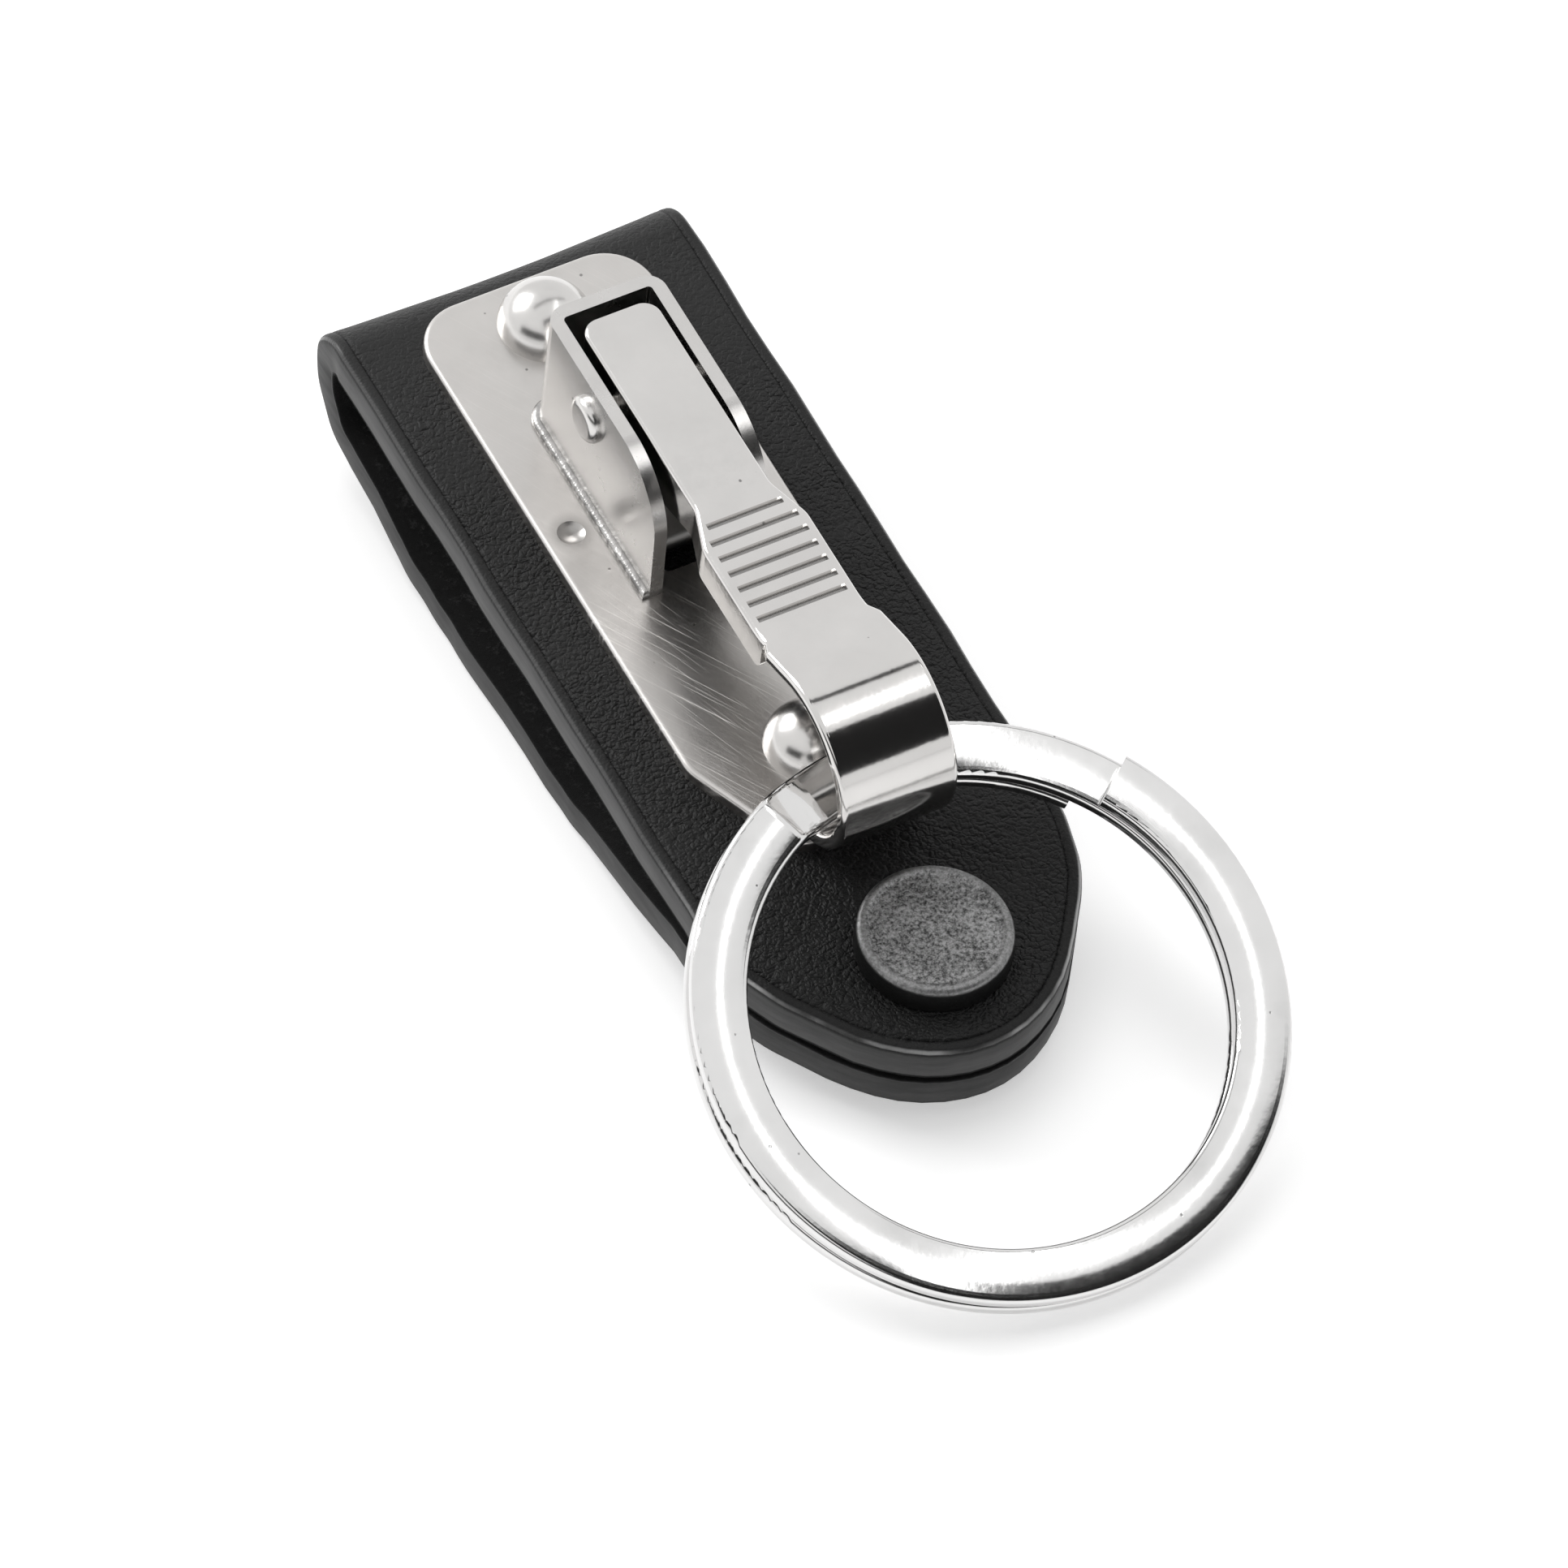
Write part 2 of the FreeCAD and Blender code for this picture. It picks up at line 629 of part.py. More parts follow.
def snap_socket():
    """Socket under the front flap, grooved for its wire ring."""
    low = -LEATHER
    web = SOCKET_TOP_Z - SOCKET_WEB
    groove_top = low + SOCKET_LIP + WIRE + 0.1
    return turned([
        (SHANK_RADIUS + PIN_FIT, SOCKET_TOP_Z),
        (SOCKET_RADIUS, SOCKET_TOP_Z, 0.3),
        (SOCKET_RADIUS, low, 0.2),
        (SOCKET_MOUTH, low),
        (SOCKET_MOUTH, low + SOCKET_LIP),
        (SOCKET_GROOVE, low + SOCKET_LIP),
        (SOCKET_GROOVE, groove_top),
        (SOCKET_MOUTH, groove_top),
        (SOCKET_MOUTH, web),
        (SHANK_RADIUS + PIN_FIT, web),
    ], 0)


def snap_spring():
    """Open wire ring that closes round the stud's neck."""
    middle = -LEATHER + SOCKET_LIP + WIRE / 2 + 0.02
    loop = Part.makeTorus(WIRE_RING, WIRE / 2, vec(0, 0, middle), vec(0, 0, 1), 0, 360, 360 - WIRE_GAP)
    loop.rotate(vec(0, 0, middle), vec(0, 0, 1), WIRE_GAP / 2)
    return loop


def snap_stud():
    """Stud on the inside of the back flap."""
    top = -LEATHER - FLAP_GAP
    head_low = -LEATHER + SOCKET_LIP + WIRE + STUD_SPACE
    head_top = head_low + STUD_HEAD_HEIGHT
    return turned([
        (0, POST_TOP_Z + FIT),
        (0, head_top),
        (STUD_HEAD, head_top, 0.25),
        (STUD_HEAD, head_low, 0.05),
        (STUD_NECK, head_low - 0.15),
        (STUD_NECK, top),
        (STUD_FLANGE, top, 0.15),
        (STUD_FLANGE, top - STUD_FLANGE_HEIGHT),
        (POST_SHANK + PIN_FIT, top - STUD_FLANGE_HEIGHT),
        (POST_SHANK + PIN_FIT, POST_TOP_Z + FIT),
    ], 0)


def snap_post():
    """Post that holds the stud, with a flat round head on the back."""
    return turned([
        (0, POST_TOP_Z),
        (POST_SHANK, POST_TOP_Z),
        (POST_SHANK, -stack),
        (POST_HEAD, -stack),
        (POST_HEAD, -stack - POST_HEAD_HEIGHT, 0.6),
        (0, -stack - POST_HEAD_HEIGHT),
    ], 0)


front_flap, back_flap = strap()
pieces = {
    "strap_front": strap_front(front_flap),
    "strap_back": strap_back(back_flap),
    "base_plate": base_plate(),
    "pivot_frame": pivot_frame(),
    "upper_rivet": rivet(RIVET_UPPER_Y),
    "lower_rivet": rivet(RIVET_LOWER_Y),
    "upper_rivet_cap": rivet_cap(RIVET_UPPER_Y),
    "lower_rivet_cap": rivet_cap(RIVET_LOWER_Y),
    "hinge_pin": hinge_pin(),
    "clip_lever": clip_lever(),
    "leaf_spring": leaf_spring(),
    "snap_cap": snap_cap(),
    "snap_socket": snap_socket(),
    "snap_spring": snap_spring(),
    "snap_stud": snap_stud(),
    "snap_post": snap_post(),
}
for shape in pieces.values():
    seat(shape)
pieces["split_ring"] = hang(split_ring())

os.makedirs("parts", exist_ok=True)
for name, shape in pieces.items():
    solid = shape.Solids[0]
    solid.exportStep("parts/" + name + ".step")
    print(name, len(shape.Solids), solid.isValid(), round(solid.Volume, 2), solid.optimalBoundingBox())
for name, y, z in (
    ("loop_open", fold_middle.x, fold_middle.y),
    ("lever_lift", PIN_Y, PIN_Z),
    ("ring_swing", ring_hang_y, RING_HANG_Z),
):
    print(name, seated_point(y, z))
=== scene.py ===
# %% [markdown]
# # A belt key clip, dressed for its photograph
# The clip is a folded strip of black leather, closed by a snap. A steel plate is riveted on its
# front and carries a sprung lever whose hook holds a split ring. Nearly all the metal pieces come
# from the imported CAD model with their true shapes, so here they only need finishes. What bends is
# modelled again: the leather is cut as a flat pattern, given its edges and bent round its path, and
# the spring under the lever is made in the same way. Lying on a table, the clip rests on its belly
# and leans by a few degrees, `REST_TILT`.

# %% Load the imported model
import math

import bmesh
import bpy
from mathutils import Matrix, Vector
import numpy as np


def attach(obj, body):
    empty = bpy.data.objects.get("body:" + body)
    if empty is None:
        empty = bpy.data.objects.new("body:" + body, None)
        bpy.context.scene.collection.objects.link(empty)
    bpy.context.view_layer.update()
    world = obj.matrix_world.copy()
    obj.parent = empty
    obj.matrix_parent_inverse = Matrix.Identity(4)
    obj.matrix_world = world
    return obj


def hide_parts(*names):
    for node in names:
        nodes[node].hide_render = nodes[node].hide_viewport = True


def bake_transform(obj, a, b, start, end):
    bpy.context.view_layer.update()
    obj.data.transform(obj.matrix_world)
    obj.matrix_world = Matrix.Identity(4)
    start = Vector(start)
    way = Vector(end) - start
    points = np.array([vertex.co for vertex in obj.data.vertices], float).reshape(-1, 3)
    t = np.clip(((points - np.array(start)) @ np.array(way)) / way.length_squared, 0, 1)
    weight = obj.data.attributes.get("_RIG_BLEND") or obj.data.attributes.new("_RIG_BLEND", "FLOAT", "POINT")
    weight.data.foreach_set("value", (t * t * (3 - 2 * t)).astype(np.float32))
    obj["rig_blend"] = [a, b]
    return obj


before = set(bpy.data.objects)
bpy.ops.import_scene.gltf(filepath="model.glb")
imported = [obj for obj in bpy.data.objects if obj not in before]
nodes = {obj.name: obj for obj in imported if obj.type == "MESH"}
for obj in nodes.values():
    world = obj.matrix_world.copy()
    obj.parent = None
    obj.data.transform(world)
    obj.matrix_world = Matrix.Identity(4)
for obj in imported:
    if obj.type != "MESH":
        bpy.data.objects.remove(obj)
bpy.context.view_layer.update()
MM = 0.001
REST_TILT = math.radians(4.5)
print("loaded", len(nodes), "pieces")

# %% [markdown]
# The photograph is taken from a long way off with a long lens, so parallel edges stay parallel.
# The camera looks down at the clip from the ring's side and a little from the left. Its three
# axes were worked out from the strap's edges, the cap and the ring, so they are given directly
# as the columns of a rotation matrix. The lens follows from the width that the frame covers.

# %% Camera
look_at = Vector((-2.57, -16.89, 8.6)) * MM
image_right = Vector((0.8813, -0.4707, 0.0417)).normalized()
to_camera = Vector((-0.3302, -0.5503, 0.7669))
to_camera = (to_camera - image_right * to_camera.dot(image_right)).normalized()
image_up = to_camera.cross(image_right)
distance = 1.3
frame_width = 97.05 * MM
sensor_width = 36
camera_data = bpy.data.cameras.new("photo_camera")
camera_data.sensor_width = sensor_width
camera_data.lens = sensor_width * distance / frame_width
camera_data.clip_start = 0.05
camera = bpy.data.objects.new("photo_camera", camera_data)
turn = Matrix((image_right, image_up, to_camera)).transposed().to_4x4()
camera.matrix_world = Matrix.Translation(look_at + to_camera * distance) @ turn
bpy.context.scene.collection.objects.link(camera)
bpy.context.scene.camera = camera
bpy.context.scene.view_settings.view_transform = "Standard"
print("lens", round(camera_data.lens), "mm")

# %% [markdown]
# Shader nodes are easier to read as sums. `Value` wraps one output socket, and its operators add
# Math nodes. Every other node comes from `Shader.node`, which takes the node's type, its settings
# and what goes into its sockets, so each finish below reads from top to bottom.


# %% Shader sums
class Value:
    def __init__(self, shader, socket):
        self.shader = shader
        self.socket = socket

    def math(self, operation, *others):
        inputs = {0: self}
        for i, other in enumerate(others):
            inputs[i + 1] = other
        return self.shader.node("ShaderNodeMath", {"operation": operation}, inputs)

    def __add__(self, other):
        return self.math("ADD", other)

    def __radd__(self, other):
        return self.math("ADD", other)

    def __sub__(self, other):
        return self.math("SUBTRACT", other)

    def __rsub__(self, other):
        return self.shader.node("ShaderNodeMath", {"operation": "SUBTRACT"}, {0: other, 1: self})

    def __mul__(self, other):
        return self.math("MULTIPLY", other)

    def __rmul__(self, other):
        return self.math("MULTIPLY", other)

    def step(self, low, high):
        """0 below low, 1 above high, smooth between."""
        inputs = {"Value": self, "From Min": low, "From Max": high}
        return self.shader.node("ShaderNodeMapRange", {"interpolation_type": "SMOOTHSTEP"}, inputs)


class Shader:
    def __init__(self, owner):
        self.owner = owner
        owner.use_nodes = True
        self.tree = owner.node_tree
        self.tree.nodes.clear()

    def node(self, kind, settings=None, inputs=None, output=0):
        made = self.tree.nodes.new(kind)
        for key, value in (settings or {}).items():
            setattr(made, key, value)
        for key, value in (inputs or {}).items():
            if isinstance(value, Value):
                self.tree.links.new(value.socket, made.inputs[key])
            else:
                made.inputs[key].default_value = value
        return Value(self, made.outputs[output])

    def place(self):
        """Object coordinates, in metres."""
        return self.node("ShaderNodeTexCoord", output="Object")

    def stretched(self, place, scale, turn=(0, 0, 0)):
        inputs = {"Vector": place, "Scale": scale, "Rotation": turn}
        return self.node("ShaderNodeMapping", {}, inputs)

    def coordinate(self, place, axis):
        """One coordinate of a place: 0 across the strap, 1 along it, 2 up."""
        return self.node("ShaderNodeSeparateXYZ", {}, {0: place}, output=axis)

    def vectors(self, operation, *inputs, output=0):
        settings = {"operation": operation}
        return self.node("ShaderNodeVectorMath", settings, dict(enumerate(inputs)), output)

    def above(self, place, foot):
        """Height over a plane that lies as the strap's front does, through a point."""
        up = (0, -math.sin(REST_TILT), math.cos(REST_TILT))
        offset = self.vectors("SUBTRACT", place, foot)
        return self.vectors("DOT_PRODUCT", offset, up, output="Value")

    def away(self, place, point):
        """Distance from a point."""
        return self.vectors("DISTANCE", place, point, output="Value")

    def streaks(self, place, angle, across, along):
        """Thin lines at an angle in the plan, by noise that is squeezed across them."""
        turned = self.stretched(place, (1, 1, 1), (0, 0, angle))
        return self.noise(self.stretched(turned, (across, along, 400)), 1.0, 2.0)

    def noise(self, place, scale, detail=3.0, roughness=0.55):
        inputs = {"Vector": place, "Scale": scale, "Detail": detail, "Roughness": roughness}
        return self.node("ShaderNodeTexNoise", {}, inputs)

    def cells(self, place, scale):
        """Distance to the middle of the nearest of many small cells."""
        return self.node("ShaderNodeTexVoronoi", {}, {"Vector": place, "Scale": scale})

    def mix(self, factor, one, two):
        settings = {"data_type": "RGBA"}
        return self.node("ShaderNodeMix", settings, {"Factor": factor, 6: one, 7: two}, output=2)

    def bump(self, height, distance, strength=1.0):
        inputs = {"Height": height, "Distance": distance, "Strength": strength}
        return self.node("ShaderNodeBump", {}, inputs)

    def finish(self, inputs):
        """Ends a material in one Principled shader."""
        self.end("ShaderNodeOutputMaterial", self.node("ShaderNodeBsdfPrincipled", {}, inputs))
        return self.owner

    def end(self, kind, surface):
        made = self.tree.nodes.new(kind)
        self.tree.links.new(surface.socket, made.inputs["Surface"])

    def shown_rays(self):
        """1 for rays from the camera, from mirror-like metal and through glass, 0 for light."""
        path = self.node("ShaderNodeLightPath", output="Is Camera Ray")
        glossy = self.node("ShaderNodeLightPath", output="Is Glossy Ray")
        through = self.node("ShaderNodeLightPath", output="Is Transmission Ray")
        return path.math("MAXIMUM", glossy).math("MAXIMUM", through)


def material(name):
    return Shader(bpy.data.materials.new(name))


def grey(value, warm=0.0):
    return (value * (1 + warm), value, value * (1 - warm), 1)


# %% [markdown]
# The floor is a large white sheet. To the camera and to mirror-like metal it shines a little by
# itself, so it comes out white in the picture and in the reflections, while the light that falls
# on it still draws the soft shadow under the clip. The world is white to the camera for the same
# reason, and weaker as a light. `object_from` puts a finished bmesh into the scene, here and for
# every piece that is modelled below.

# %% Floor and world
FLOOR_HALF_WIDTH = 3.0
FLOOR_GLOW = 0.45
PAPER = 0.86
WORLD_LIGHT = 0.35


def object_from(mesh, name):
    data = bpy.data.meshes.new(name)
    mesh.to_mesh(data)
    mesh.free()
    made = bpy.data.objects.new(name, data)
    bpy.context.scene.collection.objects.link(made)
    return made


floor_shader = material("white_floor")
floor_glow = floor_shader.shown_rays() * FLOOR_GLOW
glow_inputs = {"Color": grey(1.0), "Strength": floor_glow}
floor_shine = floor_shader.node("ShaderNodeEmission", {}, glow_inputs)
floor_paper = floor_shader.node("ShaderNodeBsdfDiffuse", {}, {"Color": grey(PAPER)})
floor_sum = floor_shader.node("ShaderNodeAddShader", {}, {0: floor_shine, 1: floor_paper})
floor_shader.end("ShaderNodeOutputMaterial", floor_sum)
floor_mesh = bmesh.new()
bmesh.ops.create_grid(floor_mesh, x_segments=1, y_segments=1, size=FLOOR_HALF_WIDTH)
floor = object_from(floor_mesh, "floor")
floor.data.materials.append(floor_shader.owner)

world = bpy.data.worlds.new("studio")
bpy.context.scene.world = world
world_shader = Shader(world)
world_level = WORLD_LIGHT + (1 - WORLD_LIGHT) * world_shader.shown_rays()
world_inputs = {"Color": grey(1.0), "Strength": world_level}
world_light = world_shader.node("ShaderNodeBackground", {}, world_inputs)
world_shader.end("ShaderNodeOutputWorld", world_light)
print("floor and world ready")

# %% [markdown]
# Three soft boxes light the clip. The large one above isn't mirrored in the metal, so it only gives
# light and a soft shadow. The one behind, on the left, makes the grain of the leather shine. The
# narrow strip above is there to be mirrored as a thin bright line in polished curves.

# %% Lamps


def soft_box(name, place, width, depth, power, mirrored=False):
    data = bpy.data.lights.new(name, "AREA")
    data.shape = "RECTANGLE"
    data.size = width
    data.size_y = depth
    data.energy = power
    lamp = bpy.data.objects.new(name, data)
    lamp.visible_glossy = mirrored
    aim = (look_at - Vector(place)).to_track_quat("-Z", "Y")
    lamp.matrix_world = Matrix.Translation(place) @ aim.to_matrix().to_4x4()
    bpy.context.scene.collection.objects.link(lamp)


soft_box("top_box", (0.1, 0.3, 0.9), width=0.7, depth=0.7, power=3.4)
soft_box("back_box", (-0.4, 0.72, 0.52), width=0.5, depth=0.5, power=4.6, mirrored=True)
soft_box("strip_box", (0.33, -0.16, 0.93), width=0.8, depth=0.06, power=0.45, mirrored=True)
print("lamps ready")

# %% [markdown]
# Polished metal looks like metal because it mirrors dark things beside bright ones. In a studio
# these are the dim room round the camera and cards put up on purpose. Here three dark cards stand
# round the clip, and only mirror-like surfaces see them. A card's place is given by the angles it
# covers, from straight up towards the front, so it can be read off from what a surface mirrors.

# %% Dark cards
CARD_DISTANCE = 1.1
CARD_HALF_WIDTH = 0.75 * CARD_DISTANCE
CARD_SHIFT = 0.36
CARD_TONE = 0.02
card_shader = material("dark_card")
card_inputs = {"Color": grey(CARD_TONE), "Strength": 1.0}
card_dark = card_shader.node("ShaderNodeEmission", {}, card_inputs)
card_shader.end("ShaderNodeOutputMaterial", card_dark)


def dark_card(name, low, high, swing=0.0):
    """A dark panel between two angles from straight up, in degrees, positive towards the front.

    The camera stands on the left, so the metal mirrors what is on the right, and a card is shifted
    there. One with a swing is turned round to the left instead."""
    lean = math.radians((low + high) / 2)
    half_height = CARD_DISTANCE * math.tan(math.radians((high - low) / 2))
    turn = Matrix.Rotation(math.radians(-swing), 4, "Z")
    side = turn @ Vector((0, -math.sin(lean), math.cos(lean)))
    shift = Vector((0 if swing else CARD_SHIFT, 0, 0))
    stand = Matrix.Translation(look_at + side * CARD_DISTANCE + shift)
    mesh = bmesh.new()
    bmesh.ops.create_grid(mesh, x_segments=1, y_segments=1, size=1.0)
    bmesh.ops.scale(mesh, vec=(CARD_HALF_WIDTH, half_height, 1.0), verts=mesh.verts)
    pose = stand @ turn @ Matrix.Rotation(lean, 4, "X")
    bmesh.ops.transform(mesh, matrix=pose, verts=mesh.verts)
    card = object_from(mesh, name)
    card.data.materials.append(card_shader.owner)
    card.visible_camera = False
    card.visible_diffuse = False
    card.visible_shadow = False


dark_card("front_card", 24, 76)
dark_card("thin_card", -19, -14)
dark_card("left_card", 61, 79, swing=54)
print("cards ready")

# %% [markdown]
# The strap's path is the outer line of the leather in the side view: along the front flap, round
# the tight fold, down the wall, along the belly and back up to the snap. Corners are given with
# their radii, and `Path` turns them into straight runs and arcs, so any length along the leather
# has a place and an outward direction.

# %% Strap sizes and path
LEATHER = 2.7
HALF_WIDTH = 12.5
BELLY = (31.0, -10.0)
BACK_FLAP = -5.7


def belly_height(along):
    """The belly lies flat on the table, so in the strap's own frame it slopes."""
    return BELLY[1] - math.tan(REST_TILT) * (along - BELLY[0])


# Each corner: along the strap, height over the front face and radius, in millimetres.
path_corners = [
    (0.0, 0.0, 0.0),
    (59.9, 0.0, 3.1),
    (57.06, -8.2, 6.82),
    (43.0, belly_height(43.0), 30.0),
    (22.5, belly_height(22.5), 25.0),
    (7.5, BACK_FLAP, 20.0),
    (0.0, BACK_FLAP, 0.0),
]


class Path:
    """Straight runs and arcs, measured along the outer side from the first corner."""

    def __init__(self, corners):
        self.parts = []
        self.bends = []
        self.length = 0.0
        points = [Vector(corner[:2]) for corner in corners]
        radii = [corner[2] for corner in corners]
        start = points[0]
        for before, here, after, radius in zip(points, points[1:], points[2:], radii[1:]):
            back = (before - here).normalized()
            ahead = (after - here).normalized()
            half = back.angle(ahead) / 2
            self.add_run(start, here + back * (radius / math.tan(half)))
            middle = here + (back + ahead).normalized() * (radius / math.sin(half))
            self.add_arc(middle, radius, -back, math.pi - 2 * half, ahead)
            start = here + ahead * (radius / math.tan(half))
        self.add_run(start, points[-1])

    def add(self, reach, locate):
        """A part holds its start, its reach and a function from a length in it to a place."""
        self.parts.append((self.length, reach, locate))
        self.length += reach

    def add_run(self, start, end):
        heading = (end - start).normalized()
        outward = Vector((-heading.y, heading.x))
        self.add((end - start).length, lambda past: (start + heading * past, outward))

    def add_arc(self, middle, radius, heading, turn, after):
        side = 1.0 if heading.cross(after) < 0 else -1.0
        outward = Vector((-heading.y, heading.x))

        def locate(past):
            turned = Matrix.Rotation(-side * past / radius, 2) @ outward
            return middle + turned * radius * side, turned

        self.bends.append((self.length, radius * turn))
        self.add(radius * turn, locate)

    def at(self, length):
        """Place and outward direction at a length along the outer side."""
        for start, reach, locate in self.parts:
            if length <= start + reach:
                break
        return locate(length - start)


strap_path = Path(path_corners)
bends = strap_path.bends
print("leather between the snap's halves", round(strap_path.length, 1), "mm")
print("bends start at", [round(start, 1) for start, _ in bends])

# %% [markdown]
# The strap is cut flat first, as a leather worker would do it: a long strip with a rounded point
# at each end. Six corners make its outline and a vertex bevel rounds them. Insets then lay loops
# along the edge, close together where the edge will be rounded and where the creased line runs.
# The middle is filled again round the holes for the rivets and the snap.

# %% Flat pattern
SNAP_BACK = strap_path.length
TIP = 15.2
SHOULDER = 2.9
TIP_BEVEL = 15.0
SHOULDER_BEVEL = 4.1
CAP_HOLE = 4.25
STUD_HOLE = 3.86
RIVET_HOLE = 2.55
SNAP_SIDE_RIVET = 16.2
FOLD_SIDE_RIVET = 52.0
CORNER_STEPS = 14
HOLE_STEPS = 40
EDGE_LOOPS = [0.04, 0.12, 0.25, 0.4, 0.6, 0.78, 0.9, 1.02, 1.3, 2.2]
pattern = bmesh.new()
edge_layer = pattern.verts.layers.float.new("from_edge")
outline = [
    (HALF_WIDTH, SHOULDER),
    (HALF_WIDTH, SNAP_BACK - SHOULDER),
    (0.0, SNAP_BACK + TIP),
    (-HALF_WIDTH, SNAP_BACK - SHOULDER),
    (-HALF_WIDTH, SHOULDER),
    (0.0, -TIP),
]
corners = [pattern.verts.new((x, y, 0)) for x, y in outline]
pattern.faces.new(corners)
points = [corners[2], corners[5]]
shoulders = [corners[i] for i in (0, 1, 3, 4)]
for rounded, reach in ((points, TIP_BEVEL), (shoulders, SHOULDER_BEVEL)):
    bmesh.ops.bevel(
        pattern, geom=rounded, offset=reach, offset_type="OFFSET", affect="VERTICES",
        segments=CORNER_STEPS, profile=0.5, material=-1,
    )
inner_face = pattern.faces[:][0]
reached = 0.0
for loop in EDGE_LOOPS:
    bmesh.ops.inset_region(
        pattern, faces=[inner_face], thickness=loop - reached, depth=0,
        use_boundary=True, use_even_offset=True,
    )
    reached = loop
    for vert in inner_face.verts:
        vert[edge_layer] = loop
rim = list(inner_face.edges)
bmesh.ops.delete(pattern, geom=[inner_face], context="FACES_ONLY")
holes = [
    (0.0, CAP_HOLE),
    (SNAP_SIDE_RIVET, RIVET_HOLE),
    (FOLD_SIDE_RIVET, RIVET_HOLE),
    (SNAP_BACK, STUD_HOLE),
]
for along, radius in holes:
    middle = Matrix.Translation((0, along, 0))
    ring = bmesh.ops.create_circle(
        pattern, cap_ends=False, segments=HOLE_STEPS, radius=radius, matrix=middle,
    )["verts"]
    for vert in ring:
        vert[edge_layer] = EDGE_LOOPS[-1]
    rim += list({edge for vert in ring for edge in vert.link_edges})
bmesh.ops.triangle_fill(pattern, use_beauty=True, use_dissolve=False, edges=rim, normal=(0, 0, 1))
print("flat pattern has", len(pattern.faces), "faces")

# %% [markdown]
# A flat sheet bends smoothly only if it has enough rows across the bend. Cuts go through the
# pattern every few millimetres, much closer together in the fold, and where the strap will later
# be parted into three pieces.

# %% Rows across the bends
ROW = 3.0
END_ROWS = 4
TIGHT_ROW = 0.4
TIGHT_BEND = 9.0
FEWEST_TIGHT_ROWS = 6
WIDE_BEND_ROWS = 14
SEAM_FRONT = 54.2
SEAM_BACK = bends[2][0] + bends[2][1] + 2.0
rows = [i * ROW for i in range(-END_ROWS, int(SNAP_BACK / ROW) + END_ROWS + 1)]
for start, reach in bends:
    count = WIDE_BEND_ROWS
    if reach < TIGHT_BEND:
        count = max(FEWEST_TIGHT_ROWS, int(reach / TIGHT_ROW))
    rows += [start + reach * i / count for i in range(count + 1)]
rows += [SEAM_FRONT, SEAM_BACK]
for along in sorted(set(rows)):
    bmesh.ops.bisect_plane(
        pattern, geom=pattern.verts[:] + pattern.edges[:] + pattern.faces[:], dist=1e-4,
        plane_co=(0, along, 0), plane_no=(0, 1, 0), clear_inner=False, clear_outer=False,
    )
print("cut into", len(pattern.faces), "faces")

# %% [markdown]
# One extrusion gives the sheet its thickness. Each point then gets its depth under the grain
# side: the edges are rounded over, and a shallow line is pressed in along the border. After that
# the sheet is bent: a point's length along the strip tells where it goes on the path, and its
# depth how far inside the outer line it lies. The flat places stay in a UV map for the grain.

# %% Thickness, edges and bend
EDGE_ROUND = 0.4
FLESH_ROUND = 0.25
CREASE = 0.9
CREASE_DEPTH = 0.12
CREASE_HALF_WIDTH = 0.13
BORDER_FALL = 0.12
FLARE = 0.45
FLARE_REACH = 4.0
UV_PER_MM = 0.01
fold_start = bends[0][0] - FLARE_REACH
fold_end = bends[1][0] + bends[1][1] + FLARE_REACH


def rounding(from_edge):
    """How far the rounded edge falls away at a distance from the rim."""
    if from_edge >= EDGE_ROUND:
        return 0.0
    return EDGE_ROUND - math.sqrt(EDGE_ROUND ** 2 - (EDGE_ROUND - from_edge) ** 2)


def crease(from_edge):
    """The pressed line, and the border outside it, which slopes a little to the rim."""
    line = CREASE_DEPTH * max(0.0, 1 - abs(from_edge - CREASE) / CREASE_HALF_WIDTH)
    slope = BORDER_FALL * max(0.0, 1 - from_edge / CREASE) ** 2
    return line + slope


def waver(across, length, from_edge):
    """Two waves of some hundredths of a millimetre, for a hand-cut edge. The middle has none."""
    side = math.copysign(1.0, across)
    wave = 0.05 * math.sin(0.61 * length + side) + 0.03 * math.sin(1.7 * length - 2 * side)
    return side * wave * max(0.0, 1 - from_edge / EDGE_LOOPS[-1])


def flare(across, length):
    """A strap that is bent sharply curls up a little at its edges."""
    share = (length - fold_start) / (fold_end - fold_start)
    if not 0 < share < 1:
        return 0.0
    return FLARE * math.sin(math.pi * share) ** 2 * (across / HALF_WIDTH) ** 2


depth_layer = pattern.verts.layers.float.new("depth")
length_layer = pattern.verts.layers.float.new("length")
flesh = bmesh.ops.extrude_face_region(pattern, geom=pattern.faces[:], use_keep_orig=True)
flesh_verts = {item for item in flesh["geom"] if isinstance(item, bmesh.types.BMVert)}
flat_map = pattern.loops.layers.uv.new("flat")
for face in pattern.faces:
    for loop in face.loops:
        loop[flat_map].uv = (loop.vert.co.x * UV_PER_MM, loop.vert.co.y * UV_PER_MM)
for vert in pattern.verts:
    across, length = vert.co.x, vert.co.y
    fall = rounding(vert[edge_layer])
    if vert in flesh_verts:
        depth = LEATHER - fall * FLESH_ROUND
    else:
        depth = fall + crease(vert[edge_layer])
    vert[depth_layer] = depth / LEATHER
    vert[length_layer] = length
    place, outward = strap_path.at(length)
    place = place + outward * (flare(across, length) - depth)
    vert.co = (across + waver(across, length, vert[edge_layer]), place.x, place.y)
bmesh.ops.recalc_face_normals(pattern, faces=pattern.faces)
seat = Matrix.Rotation(REST_TILT, 4, "X") @ Matrix.Translation((0, -BELLY[0], -BELLY[1]))
bmesh.ops.transform(pattern, matrix=Matrix.Scale(MM, 4) @ seat, verts=pattern.verts)
print("strap mesh", len(pattern.verts), "points")

